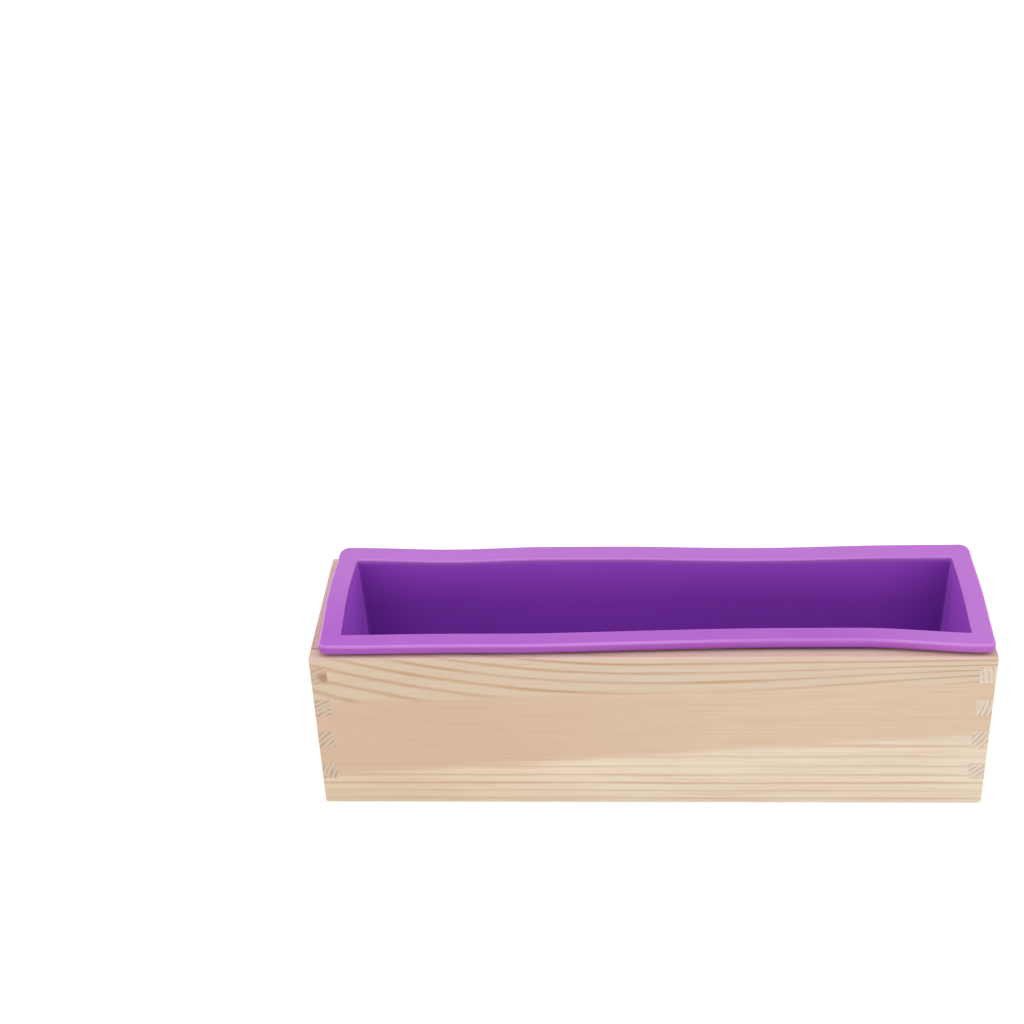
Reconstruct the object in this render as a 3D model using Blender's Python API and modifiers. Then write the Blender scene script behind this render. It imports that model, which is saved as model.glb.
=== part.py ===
"""Soap loaf mould: a finger-jointed pine box with a silicone liner that lifts out.

Metres. +X runs along the box, +Y towards its back, +Z up. The origin is at the box's bottom centre.
"""
import math

import bmesh
import bpy
from mathutils import Vector

# Box, outside sizes
LENGTH = 0.280
WIDTH = 0.074
HEIGHT = 0.077
BOARD = 0.007              # thickness of the four side boards
ARRIS = 0.0009             # rounding of the box's outer edges
GAP = 0.0003               # clearance between pieces that meet
TRIM = 0.001               # how far a raw board stands past the box before it is trimmed

# Finger joints, the same at all four corners
FINGER = 0.0084            # height of a finger, and of the space between two
TOP_FINGER = 0.0049        # height of the long boards' topmost finger
END_FINGERS = 4            # fingers on each side of an end board

# Bottom board, held in a groove in all four side boards
BASE_THICKNESS = 0.005
BASE_RAISE = 0.003         # underside above the surface that the box stands on
GROOVE = 0.003             # depth of the groove

# Silicone liner, heights above its own underside
LINER_SHIFT_X = 0.0015     # the liner lies a little off centre in the box
LINER_SHIFT_Y = 0.00025
LINER_FLOOR = 0.0022       # thickness of the liner's floor
OPENING_X = 0.1286         # half length of the opening at the rim
OPENING_Y = 0.0275         # half width of the opening at the rim
WALL = 0.0018
DRAFT = 0.001              # how much narrower the liner's foot is, on each side
RIM_X = 0.1374             # half length over the rim
RIM_Y = 0.03645            # half width over the rim
RIM_TOP = 0.0739
RIM_THICKNESS = 0.0045

# Rounding of the liner
OPENING_CORNER = 0.0006
BODY_CORNER = 0.0024
RIM_CORNER = 0.0034        # at the front; the back corners are rounder
BACK_ROUNDER = 1.6
OPENING_EDGE = 0.0009
RIM_TOP_EDGE = 0.0015
RIM_LOWER_EDGE = 0.0020
NECK_FILLET = 0.0009
FLOOR_FILLET = 0.0022
FOOT_ROUND = 0.0030

# How the soft rim has settled out of true
FRONT_BOW = 0.0039         # the front rim leans in over the opening
FRONT_LIFT = 0.0002
FRONT_ROLL = 0.03          # radians, outer edge up
BACK_BOW = -0.0012
BACK_DROP = -0.0003
BACK_CURL = 0.0012         # the back rim's outer edge stands above its inner edge
END_CURL = 0.0003
LEFT_BOW = -0.0011         # the end rims bow out
RIGHT_BOW = 0.0006
BOW_REACH = 0.034          # how far below the rim the walls follow it

# Points round the liner and along each rounding
LONG_SIDE_STEPS = 20
END_STEPS = 6
CORNER_STEPS = 4
ROUNDING_STEPS = 3


def clear_scene():
    for thing in list(bpy.data.objects):
        bpy.data.objects.remove(thing, do_unlink=True)


def new_collection(name):
    collection = bpy.data.collections.new(name)
    bpy.context.scene.collection.children.link(collection)
    return collection


def new_material(name, colour, roughness):
    material = bpy.data.materials.new(name)
    material.use_nodes = True
    shader = material.node_tree.nodes["Principled BSDF"]
    shader.inputs["Base Color"].default_value = (*colour, 1.0)
    shader.inputs["Roughness"].default_value = roughness
    shader.inputs["Metallic"].default_value = 0.0
    return material


def move_to(thing, collection):
    for owner in list(thing.users_collection):
        owner.objects.unlink(thing)
    collection.objects.link(thing)


def add_block(name, low, high, collection):
    """A box between two corners, with its origin at its centre and its scale applied."""
    low, high = Vector(low), Vector(high)
    bpy.ops.mesh.primitive_cube_add(size=1.0, location=(low + high) / 2)
    block = bpy.context.object
    block.name = block.data.name = name
    block.scale = high - low
    bpy.ops.object.transform_apply(location=False, rotation=False, scale=True)
    move_to(block, collection)
    return block


def add_cutter(name, low, high, collection):
    cutter = add_block(name, low, high, collection)
    cutter.hide_render = True
    cutter.display_type = "WIRE"
    return cutter


def add_boolean(piece, cutter, operation):
    modifier = piece.modifiers.new(f"{operation.lower()}_{cutter.name}", "BOOLEAN")
    modifier.operation = operation
    modifier.solver = "EXACT"
    modifier.object = cutter


def end_finger_levels():
    """The lowest and highest point of each finger of an end board, from the top down."""
    tops = [HEIGHT - TOP_FINGER - 2 * FINGER * i for i in range(END_FINGERS)]
    return [(top - FINGER, top) for top in tops]


def long_finger_levels():
    """The same for the long boards, whose fingers fill the spaces, up to the box's two edges."""
    ends = end_finger_levels()
    highs = [HEIGHT + 2 * TRIM] + [low for low, high in ends]
    lows = [high for low, high in ends] + [-2 * TRIM]
    return list(zip(lows, highs))


def joint_cutters(cutters):
    """What each pair of boards loses at its ends. A cutter serves both boards of its pair."""
    reach_x = LENGTH / 2 + 2 * TRIM
    reach_y = WIDTH / 2 + 2 * TRIM
    long_cutters, end_cutters = [], []
    for side, low_x, high_x in (
        ("left", -reach_x, -LENGTH / 2 + BOARD + GAP),
        ("right", LENGTH / 2 - BOARD - GAP, reach_x),
    ):
        for i, (low, high) in enumerate(end_finger_levels()):
            name = f"{side}_notch_{i}"
            corners = (low_x, -reach_y, low - GAP), (high_x, reach_y, high + GAP)
            long_cutters.append(add_cutter(name, *corners, cutters))
    for side, low_y, high_y in (
        ("front", -reach_y, -WIDTH / 2 + BOARD + GAP),
        ("back", WIDTH / 2 - BOARD - GAP, reach_y),
    ):
        for i, (low, high) in enumerate(long_finger_levels()):
            name = f"{side}_notch_{i}"
            corners = (-reach_x, low_y, low), (reach_x, high_y, high)
            end_cutters.append(add_cutter(name, *corners, cutters))
    return long_cutters, end_cutters


def base_corners(growth):
    """The bottom board's corners, or its groove's with a growth."""
    x = LENGTH / 2 - BOARD + GROOVE - GAP + growth
    y = WIDTH / 2 - BOARD + GROOVE - GAP + growth
    low = (-x, -y, BASE_RAISE - growth)
    high = (x, y, BASE_RAISE + BASE_THICKNESS + growth)
    return low, high


def make_envelope(cutters):
    """The finished box's outer form. Each raw board is trimmed to it, fingers and all."""
    low = (-LENGTH / 2, -WIDTH / 2, 0.0)
    high = (LENGTH / 2, WIDTH / 2, HEIGHT)
    envelope = add_cutter("envelope", low, high, cutters)
    rounding = envelope.modifiers.new("arris", "BEVEL")
    rounding.width = ARRIS
    rounding.segments = 3
    return envelope


def make_boards(parts, cutters):
    long_cutters, end_cutters = joint_cutters(cutters)
    groove = add_cutter("groove", *base_corners(GAP), cutters)
    envelope = make_envelope(cutters)
    out_x, out_y = LENGTH / 2 + TRIM, WIDTH / 2 + TRIM
    in_x, in_y = LENGTH / 2 - BOARD, WIDTH / 2 - BOARD
    raw_boards = (
        ("front_board", (-out_x, -out_y), (out_x, -in_y), long_cutters, (0.87, 0.73, 0.57)),
        ("back_board", (-out_x, in_y), (out_x, out_y), long_cutters, (0.87, 0.73, 0.57)),
        ("left_end_board", (-out_x, -out_y), (-in_x, out_y), end_cutters, (0.85, 0.70, 0.54)),
        ("right_end_board", (in_x, -out_y), (out_x, out_y), end_cutters, (0.85, 0.70, 0.54)),
    )
    for name, low, high, notches, colour in raw_boards:
        board = add_block(name, (*low, -TRIM), (*high, HEIGHT + TRIM), parts)
        for cutter in notches:
            add_boolean(board, cutter, "DIFFERENCE")
        add_boolean(board, groove, "DIFFERENCE")
        add_boolean(board, envelope, "INTERSECT")
        board.data.materials.append(new_material(f"{name}_pine", colour, 0.62))
    base = add_block("bottom_board", *base_corners(0.0), parts)
    base.data.materials.append(new_material("bottom_board_pine", (0.84, 0.70, 0.55), 0.66))


def along(start, end, steps):
    """Evenly spaced places strictly between two points."""
    return [start.lerp(end, i / steps) for i in range(1, steps)]


def rounded_rectangle(half_x, half_y, corner, z):
    """The points of one level section, anticlockwise from the right-hand end's front corner."""
    corners = []
    for turn, (sign_x, sign_y) in enumerate(((1, -1), (1, 1), (-1, 1), (-1, -1))):
        radius = corner * (BACK_ROUNDER if sign_y > 0 else 1.0)
        centre = Vector((sign_x * (half_x - radius), sign_y * (half_y - radius), z))
        angles = [math.radians(-90 + 90 * (turn + i / CORNER_STEPS)) for i in range(CORNER_STEPS + 1)]
        corners.append([centre + radius * Vector((math.cos(a), math.sin(a), 0.0)) for a in angles])
    points = []
    for turn, arc in enumerate(corners):
        steps = (END_STEPS, LONG_SIDE_STEPS)[turn % 2]
        points += arc + along(arc[-1], corners[(turn + 1) % 4][0], steps)
    return points


def rounding(half_x, half_y, corner, z, radius, start, end):
    """Sections along an arc in the wall's profile, about the rectangle its centre runs round."""
    sections = []
    for i in range(ROUNDING_STEPS + 1):
        angle = math.radians(start + (end - start) * i / ROUNDING_STEPS)
        out = radius * math.cos(angle)
        sections.append((half_x + out, half_y + out, corner + out, z + radius * math.sin(angle)))
    return sections


def liner_sections():
    """(half length, half width, corner radius, height), from the inside floor to the underside."""
    body_x, body_y = OPENING_X + WALL, OPENING_Y + WALL
    inset = DRAFT + FLOOR_FILLET
    rim_under = RIM_TOP - RIM_THICKNESS
    neck = NECK_FILLET
    edge = OPENING_EDGE
    top_inset = RIM_TOP_EDGE
    low_inset = RIM_LOWER_EDGE
    foot = DRAFT + FOOT_ROUND
    inner_floor = (OPENING_X - inset, OPENING_Y - inset, OPENING_CORNER, LINER_FLOOR + FLOOR_FILLET)
    opening = (OPENING_X + edge, OPENING_Y + edge, OPENING_CORNER + edge, RIM_TOP - edge)
    rim_top = (RIM_X - top_inset, RIM_Y - top_inset, RIM_CORNER - top_inset)
    rim_low = (RIM_X - low_inset, RIM_Y - low_inset, RIM_CORNER - low_inset)
    under_neck = (body_x + neck, body_y + neck, BODY_CORNER + neck, rim_under - neck)
    outer_foot = (body_x - foot, body_y - foot, BODY_CORNER - DRAFT, FOOT_ROUND)
    sections = rounding(*inner_floor, FLOOR_FILLET, -90, 0)
    sections += middle_sections(sections[-1], rounding(*opening, edge, 180, 90)[0])
    sections += rounding(*opening, edge, 180, 90)
    sections += rounding(*rim_top, RIM_TOP - top_inset, top_inset, 90, 0)
    sections += rounding(*rim_low, rim_under + low_inset, low_inset, 0, -90)
    sections += rounding(*under_neck, neck, 90, 180)
    sections += middle_sections(sections[-1], rounding(*outer_foot, FOOT_ROUND, 0, -90)[0])
    sections += rounding(*outer_foot, FOOT_ROUND, 0, -90)
    return sections


def middle_sections(first, last):
    """Two more sections across the part of the wall that follows the rim."""
    return [tuple(a + (b - a) * share for a, b in zip(first, last)) for share in (0.33, 0.67)]


def ease(value):
    """A smooth step from 0 to 1."""
    value = min(max(value, 0.0), 1.0)
    return value * value * (3.0 - 2.0 * value)


def swell(x, centre, reach):
    """A smooth hump of height 1 about a centre."""
    return math.cos(min(abs(x - centre) / reach, 1.0) * math.pi / 2) ** 2


def front_sway(x):
    """How much of the front rim's bow there is at x: one long swell right of the middle."""
    return ease((x + 0.090) / 0.150) * ease((0.138 - x) / 0.055) + 0.17 * swell(x, -0.085, 0.045)


def back_sway(x):
    """The back rim's two shallow waves."""
    return swell(x, -0.088, 0.042) + swell(x, 0.045, 0.065)


def settle(point):
    """Move a point of the liner the way the soft rim has settled."""
    x, y, z = point
    follow = ease((z - RIM_TOP + BOW_REACH) / BOW_REACH)
    front = follow * front_sway(x) * min(max(-y / OPENING_Y, 0.0), 1.0)
    back = follow * back_sway(x) * min(max(y / OPENING_Y, 0.0), 1.0)
    end = follow * ease((abs(x) - 0.100) / 0.028) * swell(y, 0.003, RIM_Y)
    roll = FRONT_ROLL * front
    rim_middle_y = -(OPENING_Y + RIM_Y) / 2
    rim_middle_z = RIM_TOP - RIM_THICKNESS / 2
    lift = FRONT_LIFT * front - roll * min(y - rim_middle_y, RIM_Y - OPENING_Y)
    curl = BACK_CURL * ease((y - OPENING_Y) / (RIM_Y - OPENING_Y))
    curl += END_CURL * ease((abs(x) - OPENING_X) / (RIM_X - OPENING_X))
    return Vector((
        x + end * (RIGHT_BOW if x > 0 else LEFT_BOW),
        y + FRONT_BOW * front + roll * max(z - rim_middle_z, -RIM_THICKNESS) + BACK_BOW * back,
        z + lift + BACK_DROP * back + follow * curl,
    ))


def make_liner(parts):
    """A loft through level sections: up the inside, over the rim and down the outside."""
    mesh = bmesh.new()
    rings = []
    for section in liner_sections():
        rings.append([mesh.verts.new(settle(point)) for point in rounded_rectangle(*section)])
    count = len(rings[0])
    for lower, upper in zip(rings, rings[1:]):
        for i in range(count):
            j = (i + 1) % count
            mesh.faces.new((lower[i], upper[i], upper[j], lower[j]))
    mesh.faces.new(rings[0])
    mesh.faces.new(reversed(rings[-1]))
    data = bpy.data.meshes.new("silicone_liner")
    mesh.to_mesh(data)
    mesh.free()
    data.shade_smooth()
    data.set_sharp_from_angle(angle=math.radians(40))
    liner = bpy.data.objects.new("silicone_liner", data)
    liner.location = (LINER_SHIFT_X, LINER_SHIFT_Y, BASE_RAISE + BASE_THICKNESS + GAP)
    liner.data.materials.append(new_material("purple_silicone", (0.49, 0.22, 0.66), 0.42))
    parts.objects.link(liner)


def main():
    clear_scene()
    parts = new_collection("soap_loaf_mould")
    cutters = new_collection("cutters")
    make_boards(parts, cutters)
    make_liner(parts)


main()
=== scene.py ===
"""Looks of the soap loaf mould: pine boards with real grain, a satin silicone liner, and the studio.

Metres, in the frame's own axes: +X along the box, +Y towards its back, +Z up.
"""
import math
import random

import bmesh
import bpy
from mathutils import Matrix, Vector


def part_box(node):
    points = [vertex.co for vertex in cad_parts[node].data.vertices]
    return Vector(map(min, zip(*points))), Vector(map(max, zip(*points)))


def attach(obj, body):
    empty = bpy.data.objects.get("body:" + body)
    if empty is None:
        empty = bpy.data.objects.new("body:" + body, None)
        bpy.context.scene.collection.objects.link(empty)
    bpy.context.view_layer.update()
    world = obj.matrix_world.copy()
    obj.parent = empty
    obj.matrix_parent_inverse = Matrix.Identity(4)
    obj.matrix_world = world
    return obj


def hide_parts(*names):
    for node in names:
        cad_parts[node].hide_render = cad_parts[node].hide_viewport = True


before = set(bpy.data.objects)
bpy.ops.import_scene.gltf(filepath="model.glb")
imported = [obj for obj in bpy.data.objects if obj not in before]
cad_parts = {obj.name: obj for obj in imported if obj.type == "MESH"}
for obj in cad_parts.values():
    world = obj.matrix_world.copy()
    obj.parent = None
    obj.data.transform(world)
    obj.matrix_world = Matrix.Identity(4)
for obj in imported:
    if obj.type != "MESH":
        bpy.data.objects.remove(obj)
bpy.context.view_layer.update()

MM = 0.001

# ---------------------------------------------------------------- sizes, worked out from the frame

FRONT_LOW, FRONT_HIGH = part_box("front_board")
BASE_LOW, BASE_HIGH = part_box("bottom_board")
HALF_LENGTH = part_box("right_end_board")[1].x
HALF_WIDTH = -FRONT_LOW.y
BOX_HEIGHT = FRONT_HIGH.z
BOARD = FRONT_HIGH.y - FRONT_LOW.y
LINER_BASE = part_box("silicone_liner")[0].z

# The finger joints' layout, as in the CAD model
FINGER = 8.4 * MM
TOP_FINGER = 4.9 * MM
END_FINGERS = 4
JOINT_GAP = 0.02 * MM
TIP_VARIATION = 0.05 * MM       # how far short of flush a finger's tip may be
GROOVE_EASE = 0.1 * MM
ARRIS_RADIUS = 0.75 * MM        # on the box's outer edges
ARRIS_STEPS = 5
ARRIS_REACH = 0.12 * MM         # a point this near an outer plane counts as on it
SOFT_EDGE = 0.05 * MM           # on every other edge of a board
SOFT_STEPS = 2

# The liner's sections. Heights are above its own underside, as in the CAD model
LINER_SHIFT = (1.5 * MM, 0.25 * MM)
LINER_FLOOR = 2.2 * MM
OPENING_X, OPENING_Y = 128.6 * MM, 27.5 * MM
WALL = 1.8 * MM
DRAFT = 1.0 * MM
RIM_X, RIM_Y = 137.4 * MM, 36.45 * MM
RIM_TOP = 73.9 * MM
RIM_THICKNESS = 4.5 * MM
RIM_SETTLE = 0.2 * MM           # the rim's underside is this much nearer the wood than the CAD model's
RIM_TOP_EDGE = 1.5 * MM
RIM_LOWER_EDGE = 2.0 * MM
OPENING_EDGE = 0.9 * MM
FLOOR_FILLET = 2.2 * MM
NECK_FILLET = 0.9 * MM          # where the rim's underside meets the walls
FOOT_RADIUS = 3.0 * MM
INNER_CORNER, BODY_CORNER, RIM_CORNER = 0.6 * MM, 2.4 * MM, 3.4 * MM
BACK_ROUNDER = 1.6              # the two corners at the back are this much rounder

# How the soft rim has settled, as in the CAD model
FRONT_BOW, FRONT_LIFT, FRONT_ROLL = 3.9 * MM, 0.2 * MM, 0.03
BACK_BOW, BACK_DROP, BACK_CURL = -1.2 * MM, -0.3 * MM, 1.2 * MM
LEFT_BOW, RIGHT_BOW, END_CURL = -1.1 * MM, 0.6 * MM, 0.3 * MM
BOW_REACH = 34.0 * MM           # how far below the rim's top the walls still follow it

# Steps round the liner, and from section to section
LONG_STEPS = 72
SHORT_STEPS = 20
CORNER_STEPS = 8
ROUND_STEPS = 7
WALL_STEPS = 12
FLAT_STEPS = 5
FACE_STEPS = 2

# ---------------------------------------------------------------- camera and studio

CAMERA_PLACE = (-0.0061, -0.6206, 0.5157)
CAMERA_YAW = 3.644              # degrees to the left of straight ahead
CAMERA_PITCH = 32.207           # degrees down
CAMERA_ROLL = -2.315
CAMERA_SENSOR = 36.0            # mm
CAMERA_LENS = 62.98             # mm
CAMERA_SHIFT = -0.025           # the object stands right of the middle of the picture

WHITE = (1.0, 1.0, 1.0, 1.0)
WORLD_STRENGTH = 0.78
FLOOR_REACH = 20.0
FLOOR_HEIGHT = -0.2 * MM
FLOOR_PAPER = (0.93, 0.93, 0.93, 1.0)
FLOOR_ROUGHNESS = 0.9
FLOOR_GLOW = 0.2

# Each softbox: its place, the point it faces, its width and height, and its power in watts
SOFTBOXES = {
    "top_softbox": ((-0.05, -0.04, 1.10), (0, 0, 0.05), (1.3, 0.45), 4.2),
    "left_softbox": ((-1.2, 0.0, 0.75), (0, 0, 0.05), (0.6, 0.6), 3.2),
    "right_softbox": ((1.2, 0.0, 0.75), (0, 0, 0.05), (0.6, 0.6), 3.2),
    "front_softbox": ((0.1, -1.4, 0.40), (0, 0, 0.04), (1.2, 0.5), 3.6),
}


def link(made):
    """Put a new object in the scene."""
    bpy.context.scene.collection.objects.link(made)
    return made


def add_object(name, shape):
    """A new object of a finished bmesh, which is freed."""
    mesh = bpy.data.meshes.new(name)
    shape.to_mesh(mesh)
    shape.free()
    return link(bpy.data.objects.new(name, mesh))


def make_camera():
    data = bpy.data.cameras.new("camera")
    data.sensor_width = CAMERA_SENSOR
    data.lens = CAMERA_LENS
    data.shift_x = CAMERA_SHIFT
    camera = link(bpy.data.objects.new("camera", data))
    turn = Matrix.Rotation(math.radians(CAMERA_YAW), 4, "Z")
    tip = Matrix.Rotation(math.radians(90.0 - CAMERA_PITCH), 4, "X")
    roll = Matrix.Rotation(math.radians(CAMERA_ROLL), 4, "Z")
    camera.matrix_world = Matrix.Translation(CAMERA_PLACE) @ turn @ tip @ roll
    bpy.context.scene.camera = camera


def add_softbox(name, place, target, size, power):
    data = bpy.data.lights.new(name, "AREA")
    data.shape = "RECTANGLE"
    data.size, data.size_y = size
    data.energy = power
    light = link(bpy.data.objects.new(name, data))
    light.location = place
    light.rotation_euler = (Vector(target) - Vector(place)).to_track_quat("-Z", "Y").to_euler()


def make_world():
    bpy.context.scene.view_settings.view_transform = "Standard"
    world = bpy.data.worlds.new("studio")
    world.use_nodes = True
    background = world.node_tree.nodes["Background"]
    background.inputs["Color"].default_value = WHITE
    background.inputs["Strength"].default_value = WORLD_STRENGTH
    bpy.context.scene.world = world


def make_floor():
    """A wide sheet of white paper just below the box."""
    shape = bmesh.new()
    bmesh.ops.create_grid(shape, x_segments=2, y_segments=2, size=FLOOR_REACH)
    floor = add_object("floor", shape)
    floor.location.z = FLOOR_HEIGHT
    paper = bpy.data.materials.new("floor_paper")
    paper.use_nodes = True
    shader = paper.node_tree.nodes["Principled BSDF"]
    shader.inputs["Base Color"].default_value = FLOOR_PAPER
    shader.inputs["Roughness"].default_value = FLOOR_ROUGHNESS
    shader.inputs["Emission Color"].default_value = WHITE
    shader.inputs["Emission Strength"].default_value = FLOOR_GLOW
    floor.data.materials.append(paper)


def make_studio():
    make_world()
    for name, (place, target, size, power) in SOFTBOXES.items():
        add_softbox(name, place, target, size, power)
    make_floor()


# ---------------------------------------------------------------- shader building

class Shader:
    """A material's node tree, with short calls for the nodes used here."""

    def __init__(self, name):
        self.material = bpy.data.materials.new(name)
        self.material.use_nodes = True
        self.tree = self.material.node_tree
        self.principled = self.tree.nodes["Principled BSDF"]

    def node(self, kind, inputs=(), **settings):
        made = self.tree.nodes.new(kind)
        for key, value in settings.items():
            setattr(made, key, value)
        for key, value in dict(inputs).items():
            self.feed(made.inputs[key], value)
        return made

    def feed(self, socket, value):
        if isinstance(value, bpy.types.NodeSocket):
            self.tree.links.new(value, socket)
        else:
            socket.default_value = value

    def math(self, operation, *values):
        made = self.node("ShaderNodeMath", operation=operation)
        for socket, value in zip(made.inputs, values):
            self.feed(socket, value)
        return made.outputs[0]

    def plus(self, first, second):
        return self.math("ADD", first, second)

    def minus(self, first, second):
        return self.math("SUBTRACT", first, second)

    def times(self, first, second):
        return self.math("MULTIPLY", first, second)

    def size_of(self, value):
        """The value without its sign."""
        return self.math("ABSOLUTE", value)

    def swing(self, noise, amount):
        """A noise about zero, its whole range as wide as amount."""
        return self.times(self.minus(noise, 0.5), amount)

    def ramp(self, value, low, high, start=0.0, end=1.0):
        """A smooth step from start to end as value goes from low to high."""
        made = self.node(
            "ShaderNodeMapRange",
            {"Value": value, "From Min": low, "From Max": high, "To Min": start, "To Max": end},
            interpolation_type="SMOOTHSTEP",
        )
        return made.outputs[0]

    def vectors(self, operation, first, second, output="Vector"):
        made = self.node("ShaderNodeVectorMath", {0: first, 1: second}, operation=operation)
        return made.outputs[output]

    def scaled(self, vector, scale):
        return self.vectors("MULTIPLY", vector, scale)

    def noise(self, vector, scale=1.0, detail=2.0, roughness=0.5):
        made = self.node(
            "ShaderNodeTexNoise",
            {"Vector": vector, "Scale": scale, "Detail": detail, "Roughness": roughness},
        )
        return made.outputs["Fac"]

    def mix(self, share, first, second):
        """The first colour, going over to the second as share goes from 0 to 1."""
        made = self.node("ShaderNodeMix", data_type="RGBA", blend_type="MIX")
        self.feed(made.inputs["Factor"], share)
        for socket, value in zip((made.inputs[6], made.inputs[7]), (first, second)):
            self.feed(socket, value)
        return made.outputs[2]

    def coordinates(self, kind):
        return self.node("ShaderNodeTexCoord").outputs[kind]

    def parts(self, vector):
        """A vector's X, Y and Z."""
        return self.node("ShaderNodeSeparateXYZ", {0: vector}).outputs[:]

    def relief(self, height, strength, distance):
        bump = self.node("ShaderNodeBump", {"Strength": strength, "Distance": distance, "Height": height})
        return bump.outputs[0]

    def set(self, inputs):
        for key, value in inputs.items():
            self.feed(self.principled.inputs[key], value)


def colour(red, green, blue):
    """A linear colour from the eight-bit numbers that a paint chart gives."""
    return (*(((c / 255.0 + 0.055) / 1.055) ** 2.4 for c in (red, green, blue)), 1.0)


# ---------------------------------------------------------------- pine
# Lengths in the pine's nodes are in millimetres: along the fibres, through the board from
# its look's depth_origin (the outer face of each side board), and up or across the face.

SAP_PALE = colour(206, 186, 160), colour(215, 200, 179)     # at the left and at the right
SAP_WARM = colour(193, 173, 151)
HEART = colour(195, 167, 143), colour(200, 176, 151)        # at the left and at the right
RING = colour(178, 142, 110)
END_RING = colour(160, 139, 122)
# Painted shade on the box's top edge, tinted pink as by light bounced from the purple liner
TOP_PAINTED_SHADE = colour(206, 170, 165)
KNOT = colour(156, 118, 88)
KNOT_HALO = colour(184, 154, 134)

FINE_WOBBLE = 0.7               # the small waves in a ring, beside the board's own slow ones
SEED_STEP = 37.0                # how far apart the boards' noises are taken
HEART_SOFTNESS = (-1.5, 3.0)    # from outside the heart band's border to inside it
HEART_WAVE = 3.0
BOLD_RINGS = (0.45, 1.0)        # the rings' strength at the two ends of a board's bold range
STRONG_LINE = 0.2               # how much stronger the strong line's ring is
STRONG_LINE_REACH = (2.2, 0.6)
HEART_RINGS = 0.10              # how much of the rings is left in the heart band
KNOT_WAVE = 5.0
PAINTED_SHADE_RISE = (74.0, 77.0)       # the painted pink shade comes in over these heights
PAINTED_SHADE_DEPTH = (5.5, 3.5)        # and stops at this depth in the board

# The sweeping rings of the front board
SWEEP_LEFT = 0.00108            # climb to the left, per square millimetre
SWEEP_LEFT_HEIGHTS = (14.0, 62.0)
SWEEP_RIGHT = 0.000055          # closing up to the right
SWEEP_RIGHT_HEIGHTS = (46.0, 60.0)
SWEEP_CLOSE_TO = 77.0           # the height that the rings close up towards
RING_SLOPE = 0.75               # how far the rings rise through the board's thickness
RING_SPACING = 5.2
WIDE_YEARS = (44.0, 0.0785, 0.55)   # the middle, pace and size of the swing in the spacing
RING_OFFSET = 0.39              # of a ring, below these heights
RING_OFFSET_HEIGHTS = (26.0, 56.0)

PINE_LOOKS = {
    "front_board": dict(
        axes="XYZ", depth_origin=-37.0, seed=1, rings="sweeping", wobble=1.6,
        heart=(25.4, 60.0), heart_slopes=(0.083, 0.04),
        warm=(26.0, 60.0), bold=(26.0, 50.0), strong_line=10.2,
        end_wood=colour(210, 192, 172), end_lines=0.65,
    ),
    "back_board": dict(
        axes="XYZ", depth_origin=37.0, seed=2, rings="round", wobble=5.0,
        pith=(-34.0, 44.0), slant=-0.05, spacing=2.9,
        heart=(28.0, 58.0), heart_slopes=(-0.05, -0.04),
        warm=(30.0, 75.0), bold=(0.0, 40.0), strong_line=66.0,
        end_wood=colour(210, 192, 172), end_lines=0.65,
    ),
    "left_end_board": dict(
        axes="YXZ", depth_origin=-140.0, seed=3, rings="round", wobble=1.2,
        pith=(30.0, 8.0), slant=0.02, spacing=2.0,
        heart=(30.0, 52.0), heart_slopes=(0.05, 0.05),
        warm=(20.0, 80.0), bold=(0.0, 50.0), strong_line=30.0,
        end_wood=colour(197, 175, 152), end_lines=1.0,
        # this end's painted pink shade on its top edge is darker
        knot=(-37.0, 5.6, 67.0), painted_shade=colour(196, 148, 151),
    ),
    "right_end_board": dict(
        axes="YXZ", depth_origin=140.0, seed=4, rings="round", wobble=1.2,
        pith=(-42.0, 60.0), slant=-0.03, spacing=2.1,
        heart=(48.0, 70.0), heart_slopes=(-0.05, 0.0),
        warm=(20.0, 80.0), bold=(0.0, 50.0), strong_line=44.0,
        end_wood=colour(210, 194, 175), end_lines=0.65,
    ),
    "bottom_board": dict(
        axes="XZY", depth_origin=5.0, seed=5, rings="round", wobble=4.0,
        pith=(30.0, -6.0), slant=0.04, spacing=2.6,
        heart=(-14.0, 4.0), heart_slopes=(0.04, 0.05),
        warm=(0.0, 30.0), bold=(-30.0, 10.0), strong_line=12.0,
        end_wood=colour(210, 192, 172), end_lines=0.65,
    ),
}


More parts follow.
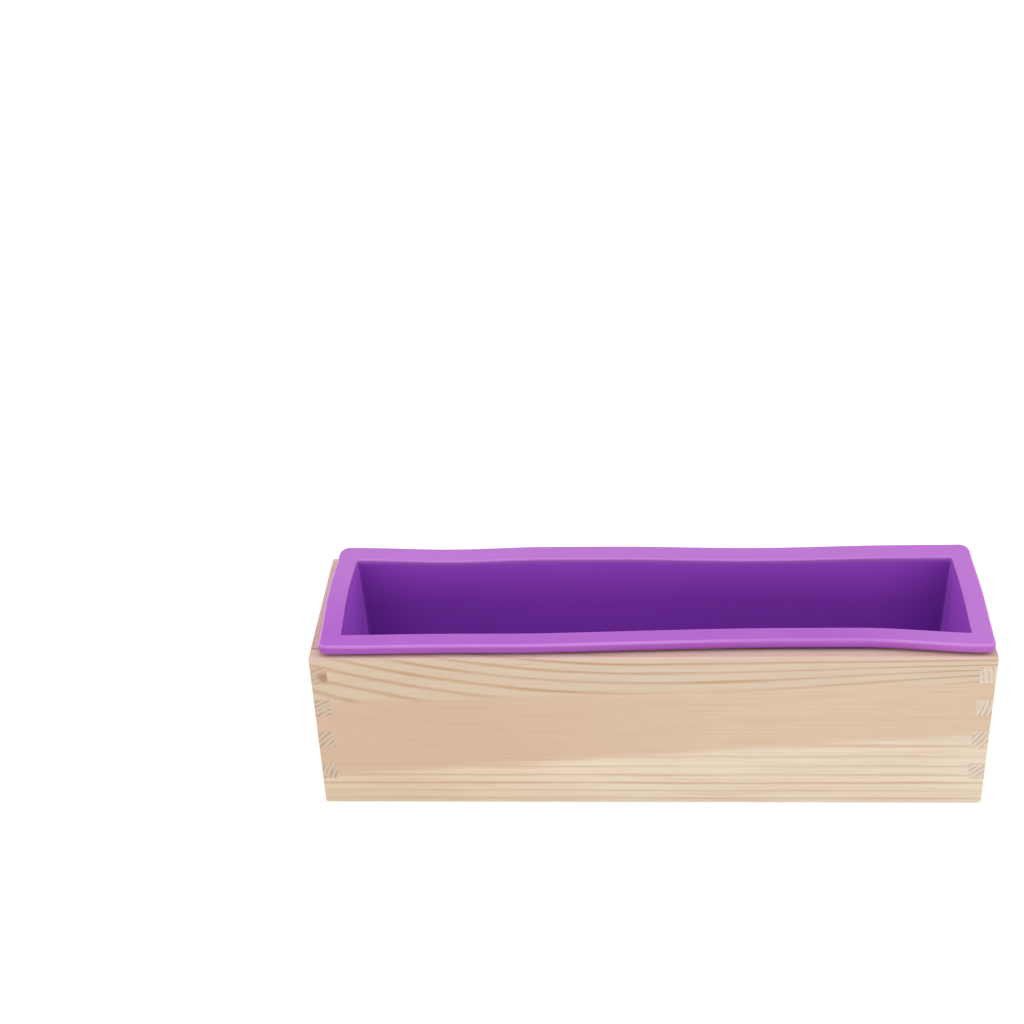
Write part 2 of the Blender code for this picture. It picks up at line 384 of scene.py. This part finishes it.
class Pine(Shader):
    """Pine with its grain along one axis, solid through the board so that end grain matches the faces."""

    def __init__(self, name, look):
        super().__init__(name)
        self.look = look
        self.find_grain()
        self.make_noises()
        rings = self.sweeping_rings() if look["rings"] == "sweeping" else self.round_rings()
        self.phase = self.math("FRACT", rings)
        self.year = self.math("FLOOR", rings)
        self.late = self.times(self.ramp(self.phase, 0.5, 0.78), self.ramp(self.phase, 1.0, 0.80))
        wood = self.mix(self.end_share(), self.face_wood(), self.end_wood())
        # Painted pink shade on the top edge, as under the liner's rim and lit by light bounced from it
        wood = self.mix(self.painted_shade_share(), wood, look.get("painted_shade", TOP_PAINTED_SHADE))
        self.finish(wood)

    def find_grain(self):
        """Turn the board's own place into the place in the grain."""
        place = self.scaled(self.coordinates("Object"), (1.0 / MM,) * 3)
        self.place_parts = self.parts(place)
        axes = ["XYZ".index(letter) for letter in self.look["axes"]]
        self.along, depth, self.height = (self.place_parts[axis] for axis in axes)
        self.depth = self.minus(depth, self.look["depth_origin"])
        combined = self.node("ShaderNodeCombineXYZ", {0: self.along, 1: self.depth, 2: self.height})
        self.grain = combined.outputs[0]
        self.shifted = self.vectors("ADD", self.grain, (self.look["seed"] * SEED_STEP,) * 3)
        self.normal_parts = self.parts(self.coordinates("Normal"))
        self.facing_end = self.normal_parts[axes[0]]

    def grain_noise(self, scale, detail, roughness=0.5):
        return self.noise(self.scaled(self.shifted, scale), detail=detail, roughness=roughness)

    def make_noises(self):
        """The waves in the rings, the fibres at two scales, and the end grain's patches."""
        slow = self.grain_noise((0.008, 0.05, 0.05), 1.5)
        self.fine = self.grain_noise((0.035, 0.3, 0.3), 2.0)
        self.wobble = self.plus(self.swing(slow, self.look["wobble"]), self.swing(self.fine, FINE_WOBBLE))
        self.streak = self.grain_noise((0.025, 1.1, 1.3), 3.0, 0.6)
        self.fibre = self.grain_noise((0.12, 5.0, 6.0), 2.0, 0.6)
        self.patchy = self.grain_noise((0.3, 0.25, 0.25), 1.0)

    def sweeping_rings(self):
        """Nearly level below, and above sweeping up to the left and closing up to the right."""
        left = self.math("MINIMUM", self.along, 0.0)
        right = self.math("MAXIMUM", self.along, 0.0)
        climb = self.times(self.times(left, left), SWEEP_LEFT)
        climb = self.times(climb, self.ramp(self.height, *SWEEP_LEFT_HEIGHTS))
        closing = self.times(self.times(right, right), SWEEP_RIGHT)
        crowd = self.times(self.minus(SWEEP_CLOSE_TO, self.height), closing)
        climb = self.plus(climb, self.times(crowd, self.ramp(self.height, *SWEEP_RIGHT_HEIGHTS)))
        across = self.minus(self.height, climb)
        across = self.plus(across, self.times(self.depth, RING_SLOPE))
        across = self.plus(across, self.wobble)
        middle, pace, amount = WIDE_YEARS
        swing = self.math("SINE", self.times(self.minus(across, middle), pace))
        rings = self.minus(self.math("DIVIDE", across, RING_SPACING), self.times(swing, amount))
        return self.plus(rings, self.ramp(self.height, *RING_OFFSET_HEIGHTS, RING_OFFSET, 0.0))

    def round_rings(self):
        """Rings about a pith line that runs at a slant to the board."""
        pith_depth, pith_height = self.look["pith"]
        lift = self.times(self.along, self.look["slant"])
        down = self.minus(self.minus(self.height, pith_height), lift)
        off = self.minus(self.depth, pith_depth)
        squares = self.plus(self.times(down, down), self.times(off, off))
        radius = self.plus(self.math("SQRT", squares), self.wobble)
        return self.math("DIVIDE", radius, self.look["spacing"])

    def heart_share(self):
        """1 in the plain heart band, which has a slanting border below and above."""
        lower, upper = (
            self.plus(self.times(self.along, slope), start)
            for slope, start in zip(self.look["heart_slopes"], self.look["heart"])
        )
        level = self.plus(self.height, self.swing(self.fine, HEART_WAVE))
        return self.times(
            self.ramp(self.minus(level, lower), *HEART_SOFTNESS),
            self.ramp(self.minus(upper, level), *HEART_SOFTNESS),
        )

    def ring_strength(self, heart):
        """Some years are darker than others, and a ring fades in and out along the board."""
        white = self.node("ShaderNodeTexWhiteNoise", {"W": self.year}, noise_dimensions="1D")
        fade = self.grain_noise((0.02, 0.1, 0.1), 1.0)
        strength = self.plus(self.times(white.outputs["Value"], 0.35), 0.65)
        strength = self.plus(strength, self.ramp(fade, 0.35, 0.7, -0.2, 0.2))
        off_line = self.size_of(self.minus(self.height, self.look["strong_line"]))
        bold = self.plus(
            self.ramp(self.height, *self.look["bold"], *BOLD_RINGS),
            self.ramp(off_line, *STRONG_LINE_REACH, 0.0, STRONG_LINE),
        )
        strength = self.times(strength, bold)
        return self.times(strength, self.ramp(heart, 0.0, 1.0, 1.0, HEART_RINGS))

    def face_wood(self):
        """Sapwood and heart, with their rings, streaks and fibres."""
        heart = self.heart_share()
        cloud = self.grain_noise((0.015, 0.06, 0.06), 1.0)
        sap = self.mix(self.ramp(self.along, -125.0, 10.0), *SAP_PALE)
        sap = self.mix(self.ramp(cloud, 0.3, 0.7, 0.0, 0.3), sap, SAP_WARM)
        sap = self.mix(self.ramp(self.height, *self.look["warm"], 0.0, 0.75), sap, SAP_WARM)
        wood = self.mix(heart, sap, self.mix(self.ramp(self.along, -90.0, 60.0), *HEART))
        wood = self.mix(self.times(self.late, self.ring_strength(heart)), wood, RING)
        wood = self.mix(self.ramp(self.streak, 0.45, 0.75, 0.0, 0.30), wood, RING)
        return self.mix(self.ramp(self.fibre, 0.5, 0.8, 0.0, 0.16), wood, END_RING)

    def end_share(self):
        """1 on the faces that look along the fibres, where the end grain shows."""
        return self.ramp(self.size_of(self.facing_end), 0.6, 0.85)

    def end_wood(self):
        """End grain: the rings cut across, patchy, with pores, and the knot where there is one."""
        late = self.times(self.ramp(self.phase, 0.35, 0.7), self.ramp(self.phase, 1.0, 0.80))
        late = self.times(late, self.ramp(self.patchy, 0.35, 0.6, 0.35, 1.0))
        pores = self.grain_noise((0.5, 4.0, 4.0), 2.0)
        wood = self.mix(self.ramp(pores, 0.35, 0.7, 0.0, 0.3), self.look["end_wood"], END_RING)
        wood = self.mix(self.times(late, self.look["end_lines"]), wood, END_RING)
        return self.with_knot(wood) if "knot" in self.look else wood

    def with_knot(self, wood):
        away = self.vectors("DISTANCE", self.grain, self.look["knot"], "Value")
        away = self.plus(away, self.wobble)
        away = self.plus(away, self.swing(self.patchy, KNOT_WAVE))
        wood = self.mix(self.ramp(away, 10.0, 4.5, 0.0, 0.55), wood, KNOT_HALO)
        return self.mix(self.ramp(away, 3.4, 0.6, 0.0, 0.8), wood, KNOT)

    def painted_shade_share(self):
        """Where the painted pink shade goes: the box's top edge, on the outer half of the boards, shaded
        as under the liner's rim and tinted as by light bounced from it.
        """
        upward = self.normal_parts[2]
        near_top = self.ramp(self.place_parts[2], *PAINTED_SHADE_RISE)
        near_outside = self.ramp(self.size_of(self.depth), *PAINTED_SHADE_DEPTH)
        return self.times(self.times(self.ramp(upward, 0.2, 0.9, 0.25, 0.6), near_top), near_outside)

    def finish(self, wood):
        """Late wood is a little shinier, and the fibres and rings stand up slightly."""
        shine = self.ramp(self.late, 0.0, 1.0, 0.62, 0.50)
        height = self.plus(self.times(self.fibre, 0.5), self.times(self.streak, 0.35))
        height = self.plus(height, self.times(self.late, 0.10))
        self.set({
            "Base Color": wood,
            "Roughness": self.plus(shine, self.ramp(self.fibre, 0.3, 0.7, -0.04, 0.06)),
            "Normal": self.relief(height, 0.15, 0.10 * MM),
            "Specular IOR Level": 0.35,
        })


# ---------------------------------------------------------------- boards

def end_finger_levels():
    """The lowest and highest point of each finger of an end board, from the bottom up."""
    tops = [BOX_HEIGHT - TOP_FINGER - 2 * FINGER * i for i in range(END_FINGERS)]
    return [(top - FINGER, top) for top in reversed(tops)]


def long_finger_levels():
    """The same for the long boards, whose fingers fill the spaces between."""
    ends = end_finger_levels()
    lows = [0.0] + [high for low, high in ends]
    highs = [low for low, high in ends] + [BOX_HEIGHT]
    return list(zip(lows, highs))


def comb_side(reach, root, fingers, rng):
    """One end of a board's outline, from the bottom up: out along each finger and back between."""
    points = []
    if fingers[0][0] > 0.0:
        points.append((root, 0.0))
    for low, high in fingers:
        tip = reach + rng.uniform(-TIP_VARIATION, 0.0)
        low_edge = low + JOINT_GAP / 2 if low > 0.0 else 0.0
        high_edge = high - JOINT_GAP / 2 if high < BOX_HEIGHT else BOX_HEIGHT
        if low_edge > 0.0:
            points.append((root, low_edge))
        points += [(tip, low_edge), (tip, high_edge)]
        if high_edge < BOX_HEIGHT:
            points.append((root, high_edge))
    if fingers[-1][1] < BOX_HEIGHT:
        points.append((root, BOX_HEIGHT))
    return points


def on_envelope(point):
    """Whether a point lies on the box's outer planes: its ends, its sides, and its top or bottom."""
    gaps = (
        HALF_LENGTH - abs(point.x),
        HALF_WIDTH - abs(point.y),
        min(point.z, BOX_HEIGHT - point.z),
    )
    return [gap < ARRIS_REACH for gap in gaps]


def is_arris(edge):
    """True for an edge that runs along two of the box's outer planes."""
    shared = [a and b for a, b in zip(*(on_envelope(v.co) for v in edge.verts))]
    return sum(shared) >= 2


def cut_groove(board):
    """Cut the slot that holds the bottom board's edge, and keep only the result."""
    ease_all_round = Vector((GROOVE_EASE,) * 3)
    low, high = Vector(BASE_LOW) - ease_all_round, Vector(BASE_HIGH) + ease_all_round
    shape = bmesh.new()
    bmesh.ops.create_cube(shape, size=1.0)
    shape.transform(Matrix.Translation((low + high) / 2) @ Matrix.Diagonal((*(high - low), 1.0)))
    cutter = add_object("groove_cutter", shape)
    slot = board.modifiers.new("groove", "BOOLEAN")
    slot.operation = "DIFFERENCE"
    slot.solver = "EXACT"
    slot.object = cutter
    whole = board.data
    evaluated = board.evaluated_get(bpy.context.evaluated_depsgraph_get())
    board.data = bpy.data.meshes.new_from_object(evaluated)
    board.modifiers.remove(slot)
    bpy.data.meshes.remove(whole)
    board.data.name = board.name
    bpy.data.meshes.remove(cutter.data)


def comb_board(reach, root, fingers, to_box, rng):
    """A comb-ended board: its outline, extruded through its thickness, with its arrises rounded."""
    right = comb_side(reach, root, fingers, rng)
    left = [(-a, z) for a, z in reversed(comb_side(reach, root, fingers, rng))]
    shape = bmesh.new()
    outline = [shape.verts.new((a, 0.0, z)) for a, z in right + left]
    face = shape.faces.new(outline)
    grown = bmesh.ops.extrude_face_region(shape, geom=[face])["geom"]
    moved = [v for v in grown if isinstance(v, bmesh.types.BMVert)]
    bmesh.ops.translate(shape, verts=moved, vec=(0.0, BOARD, 0.0))
    shape.transform(to_box)
    bmesh.ops.recalc_face_normals(shape, faces=shape.faces)
    bmesh.ops.bevel(
        shape, geom=[edge for edge in shape.edges if is_arris(edge)], offset=ARRIS_RADIUS,
        segments=ARRIS_STEPS, profile=0.5, affect="EDGES", clamp_overlap=True,
    )
    return shape


def soften_edges(board):
    soften = board.modifiers.new("soften", "BEVEL")
    soften.width = SOFT_EDGE
    soften.segments = SOFT_STEPS
    soften.limit_method = "ANGLE"
    soften.angle_limit = math.radians(50)
    board.data.shade_smooth()
    board.data.set_sharp_from_angle(angle=math.radians(40))


def make_board(name, reach, root, fingers, to_box, seed):
    shape = comb_board(reach, root, fingers, to_box, random.Random(seed))
    board = add_object(name + "_pine", shape)
    cut_groove(board)
    soften_edges(board)
    board.data.materials.append(Pine(name + "_pine", PINE_LOOKS[name]).material)
    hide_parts(name)
    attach(board, "box")


def make_boards():
    long_root = HALF_LENGTH - BOARD
    end_root = HALF_WIDTH - BOARD
    quarter = Matrix.Rotation(math.radians(90), 4, "Z")
    ways = {
        "front_board": Matrix.Translation((0, -HALF_WIDTH, 0)),
        "back_board": Matrix.Translation((0, HALF_WIDTH - BOARD, 0)),
        "left_end_board": Matrix.Translation((-HALF_LENGTH + BOARD, 0, 0)) @ quarter,
        "right_end_board": Matrix.Translation((HALF_LENGTH, 0, 0)) @ quarter,
    }
    for seed, (name, to_box) in enumerate(ways.items()):
        if name.endswith("end_board"):
            make_board(name, HALF_WIDTH, end_root, end_finger_levels(), to_box, seed)
        else:
            make_board(name, HALF_LENGTH, long_root, long_finger_levels(), to_box, seed)


def dress_bottom_board():
    """The bottom board keeps its CAD shape and gets the pine."""
    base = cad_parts["bottom_board"]
    base.data.materials.clear()
    base.data.materials.append(Pine("bottom_board_pine", PINE_LOOKS["bottom_board"]).material)


# ---------------------------------------------------------------- silicone liner

SILICONE = colour(161, 82, 185)
SILICONE_DEEP = colour(155, 74, 179)
SILICONE_INSIDE_SHADE = colour(154, 73, 193)
SILICONE_BACK_SHEEN = colour(167, 100, 187)
SILICONE_RIGHT_LIGHT = colour(169, 99, 189)
SILICONE_EDGE_HIGHLIGHT = colour(187, 118, 196)
SILICONE_SIDE_SHADE = colour(148, 63, 162)
SILICONE_SIDE_SHADE_RIGHT = colour(162, 79, 170)
SILICONE_CORNER_SHADE = colour(104, 38, 142)
SILICONE_END_LIGHT = colour(176, 88, 214)

RIM_LEVEL = LINER_BASE + RIM_TOP
BELOW_RIM = (RIM_LEVEL - 0.8 * MM, RIM_LEVEL - 3.0 * MM)
RIGHT_LIGHT_REACH = (OPENING_X - 50.0 * MM, OPENING_X)
NEAR_END = (OPENING_X - 34.0 * MM, OPENING_X + 12.0 * MM)
CORNER_SHADE_SHARE = 0.62


class Silicone(Shader):
    """Satin purple silicone: slightly translucent, with a fine moulded skin and faint clouding."""

    def __init__(self, name):
        super().__init__(name)
        self.place = self.coordinates("Object")
        self.normal = self.coordinates("Normal")
        self.along, self.depth, self.height = self.parts(self.place)
        self.endward, _, self.upward = self.parts(self.normal)
        # painted light from the right, over the liner's right-hand end
        self.right = self.ramp(self.along, *RIGHT_LIGHT_REACH)
        self.cloud = self.noise(self.scaled(self.place, (60.0,) * 3), detail=3.0)
        tint = self.mix(self.ramp(self.cloud, 0.3, 0.7, 0.0, 0.4), SILICONE, SILICONE_DEEP)
        tint = self.painted_rim_sheen_and_light(tint)
        tint = self.inner_wall_shade_and_light(tint)
        self.finish(self.rim_shade_and_highlights(tint))

    def painted_rim_sheen_and_light(self, tint):
        """A painted sheen makes the rim paler towards the back, and painted light from the right makes it
        paler towards the right.
        """
        tint = self.mix(self.ramp(self.depth, -OPENING_Y, OPENING_Y), tint, SILICONE_BACK_SHEEN)
        # painted light from the right
        return self.mix(self.right, tint, SILICONE_RIGHT_LIGHT)

    def inner_wall_shade_and_light(self, tint):
        """Painted shade and light: deeper in colour below the rim, as in the cavity's shade, darkest near
        the ends with painted corner shade, but paler on the end walls with painted light.
        """
        # painted shade: the walls below the rim are deeper in colour
        tint = self.mix(self.ramp(self.height, *BELOW_RIM), tint, SILICONE_INSIDE_SHADE)
        inside = self.inside_share()
        # painted shade, darkest near the ends where the walls meet
        near_end = self.ramp(self.size_of(self.along), *NEAR_END)
        tint = self.mix(self.times(self.times(inside, near_end), CORNER_SHADE_SHARE), tint, SILICONE_CORNER_SHADE)
        # painted light: the end walls paler, as lit from the sides
        lit_end_wall = self.ramp(self.size_of(self.endward), 0.55, 0.85)
        return self.mix(self.times(inside, lit_end_wall), tint, SILICONE_END_LIGHT)

    def inside_share(self):
        """1 below the rim on faces that look towards the liner's middle, and 0 on those that look out."""
        level_place = self.scaled(self.place, (1.0, 1.0, 0.0))
        outwards = self.vectors("DOT_PRODUCT", level_place, self.normal, "Value")
        return self.times(self.ramp(self.height, *BELOW_RIM), self.ramp(outwards, 6.0 * MM, 1.0 * MM))

    def rim_shade_and_highlights(self, tint):
        """Painted shade makes the rim deeper in colour down its outer face, less so at the right where
        painted light falls, and painted highlights make it paler along its edges.
        """
        outside = self.math(
            "MAXIMUM",
            self.ramp(self.size_of(self.depth), OPENING_Y + 4.0 * MM, OPENING_Y + 5.5 * MM),
            self.ramp(self.size_of(self.along), OPENING_X + 4.0 * MM, OPENING_X + 5.5 * MM),
        )
        # painted shade on the rim's outer face, lighter at the right with painted light from the right
        shaded_side = self.mix(self.right, SILICONE_SIDE_SHADE, SILICONE_SIDE_SHADE_RIGHT)
        tint = self.mix(self.times(outside, self.ramp(self.upward, 0.5, 0.1)), tint, shaded_side)
        # painted highlight along the rim's rounded edges, strongest on the outer ones
        edge = self.times(self.ramp(self.upward, 0.25, 0.75), self.ramp(self.upward, 0.985, 0.9))
        edge = self.times(edge, self.ramp(self.height, RIM_LEVEL - 30.0 * MM, RIM_LEVEL - 10.0 * MM))
        edge = self.times(edge, self.plus(self.times(outside, 0.45), 0.3))
        return self.mix(edge, tint, SILICONE_EDGE_HIGHLIGHT)

    def finish(self, tint):
        grit = self.noise(self.scaled(self.place, (900.0,) * 3), detail=1.0)
        height = self.plus(self.times(self.cloud, 0.6), self.times(grit, 0.08))
        self.set({
            "Base Color": tint,
            "Roughness": self.ramp(self.cloud, 0.3, 0.7, 0.28, 0.35),
            "Normal": self.relief(height, 0.25, 0.25 * MM),
            "Subsurface Weight": 0.10,
            "Subsurface Radius": (1.0, 0.45, 1.2),
            "Subsurface Scale": 1.5 * MM,
            "Specular IOR Level": 0.45,
        })


def rounded_rectangle(half_x, half_y, corner, z):
    """The points of one level section, anticlockwise from the right-hand end's front corner."""
    arcs = []
    for turn, (sign_x, sign_y) in enumerate(((1, -1), (1, 1), (-1, 1), (-1, -1))):
        radius = corner * (BACK_ROUNDER if sign_y > 0 else 1.0)
        centre = Vector((sign_x * (half_x - radius), sign_y * (half_y - radius), z))
        angles = [math.radians(-90 + 90 * (turn + i / CORNER_STEPS)) for i in range(CORNER_STEPS + 1)]
        arcs.append([centre + radius * Vector((math.cos(a), math.sin(a), 0.0)) for a in angles])
    points = []
    for turn, arc in enumerate(arcs):
        steps = (SHORT_STEPS, LONG_STEPS)[turn % 2]
        start, end = arc[-1], arcs[(turn + 1) % 4][0]
        points += arc + [start.lerp(end, i / steps) for i in range(1, steps)]
    return points


def rounding(half_x, half_y, corner, z, radius, start, end):
    """Sections along an arc in the wall's profile, about the rectangle its centre runs round."""
    sections = []
    for i in range(ROUND_STEPS + 1):
        angle = math.radians(start + (end - start) * i / ROUND_STEPS)
        out = radius * math.cos(angle)
        sections.append((half_x + out, half_y + out, corner + out, z + radius * math.sin(angle)))
    return sections


def between(first, last, steps):
    """Sections evenly spaced strictly between two."""
    shares = [i / steps for i in range(1, steps)]
    return [tuple(a + (b - a) * share for a, b in zip(first, last)) for share in shares]


def liner_sections():
    """(half length, half width, corner radius, height), from the inside floor to the underside."""
    body_x, body_y = OPENING_X + WALL, OPENING_Y + WALL
    under = RIM_TOP - RIM_THICKNESS - RIM_SETTLE
    inset = DRAFT + FLOOR_FILLET
    heel = DRAFT + FOOT_RADIUS
    stretches = (
        rounding(
            OPENING_X - inset, OPENING_Y - inset, INNER_CORNER,
            LINER_FLOOR + FLOOR_FILLET, FLOOR_FILLET, -90, 0,
        ),
        rounding(
            OPENING_X + OPENING_EDGE, OPENING_Y + OPENING_EDGE, INNER_CORNER + OPENING_EDGE,
            RIM_TOP - OPENING_EDGE, OPENING_EDGE, 180, 90,
        ),
        rounding(
            RIM_X - RIM_TOP_EDGE, RIM_Y - RIM_TOP_EDGE, RIM_CORNER - RIM_TOP_EDGE,
            RIM_TOP - RIM_TOP_EDGE, RIM_TOP_EDGE, 90, 0,
        ),
        rounding(
            RIM_X - RIM_LOWER_EDGE, RIM_Y - RIM_LOWER_EDGE, RIM_CORNER - RIM_LOWER_EDGE,
            under + RIM_LOWER_EDGE, RIM_LOWER_EDGE, 0, -90,
        ),
        rounding(
            body_x + NECK_FILLET, body_y + NECK_FILLET, BODY_CORNER + NECK_FILLET,
            under - NECK_FILLET, NECK_FILLET, 90, 180,
        ),
        rounding(
            body_x - heel, body_y - heel, BODY_CORNER - DRAFT,
            FOOT_RADIUS, FOOT_RADIUS, 0, -90,
        ),
    )
    steps = (WALL_STEPS, FLAT_STEPS, FACE_STEPS, FLAT_STEPS, WALL_STEPS)
    sections = list(stretches[0])
    for stretch, count in zip(stretches[1:], steps):
        sections += between(sections[-1], stretch[0], count) + stretch
    return sections


def ease(value):
    """A smooth step from 0 to 1."""
    value = min(max(value, 0.0), 1.0)
    return value * value * (3.0 - 2.0 * value)


def swell(x, centre, reach):
    """A smooth hump of height 1 about a centre."""
    return math.cos(min(abs(x - centre) / reach, 1.0) * math.pi / 2) ** 2


def front_sway(x):
    """How far the front rim is out of straight: one long swell, and a slight one near the left end."""
    return ease((x + 0.090) / 0.150) * ease((0.138 - x) / 0.055) + 0.17 * swell(x, -0.085, 0.045)


def back_sway(x):
    """The same for the back rim, with its two shallow waves."""
    return swell(x, -0.088, 0.042) + swell(x, 0.045, 0.065)


def end_sway(x, y):
    """The same for the two ends, each bowed about its middle."""
    return ease((abs(x) - 0.100) / 0.028) * swell(y, 0.003, RIM_Y)


def settle(point):
    """Move a point of the liner the way the soft rim has settled, as in the CAD model."""
    x, y, z = point
    follow = ease((z - RIM_TOP + BOW_REACH) / BOW_REACH)
    front = follow * front_sway(x) * min(max(-y / OPENING_Y, 0.0), 1.0)
    back = follow * back_sway(x) * min(max(y / OPENING_Y, 0.0), 1.0)
    end = follow * end_sway(x, y)
    roll = FRONT_ROLL * front
    middle_y = -(OPENING_Y + RIM_Y) / 2
    middle_z = RIM_TOP - RIM_THICKNESS / 2
    lift = FRONT_LIFT * front - roll * min(y - middle_y, RIM_Y - OPENING_Y)
    lean = FRONT_BOW * front + roll * max(z - middle_z, -RIM_THICKNESS)
    curl = BACK_CURL * ease((y - OPENING_Y) / (RIM_Y - OPENING_Y))
    curl += END_CURL * ease((abs(x) - OPENING_X) / (RIM_X - OPENING_X))
    return Vector((
        x + end * (RIGHT_BOW if x > 0 else LEFT_BOW),
        y + lean + BACK_BOW * back,
        z + lift + BACK_DROP * back + follow * curl,
    ))


def make_liner():
    """A loft through level sections: up the inside, over the rim and down the outside."""
    shape = bmesh.new()
    rings = [
        [shape.verts.new(settle(point)) for point in rounded_rectangle(*section)]
        for section in liner_sections()
    ]
    count = len(rings[0])
    for lower, upper in zip(rings, rings[1:]):
        for i in range(count):
            j = (i + 1) % count
            shape.faces.new((lower[i], upper[i], upper[j], lower[j]))
    shape.faces.new(rings[0])
    shape.faces.new(reversed(rings[-1]))
    shape.transform(Matrix.Translation((*LINER_SHIFT, LINER_BASE)))
    liner = add_object("liner_silicone", shape)
    liner.data.shade_smooth()
    liner.data.materials.append(Silicone("purple_silicone").material)
    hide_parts("silicone_liner")
    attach(liner, "liner")


make_camera()
make_studio()
make_boards()
dress_bottom_board()
make_liner()
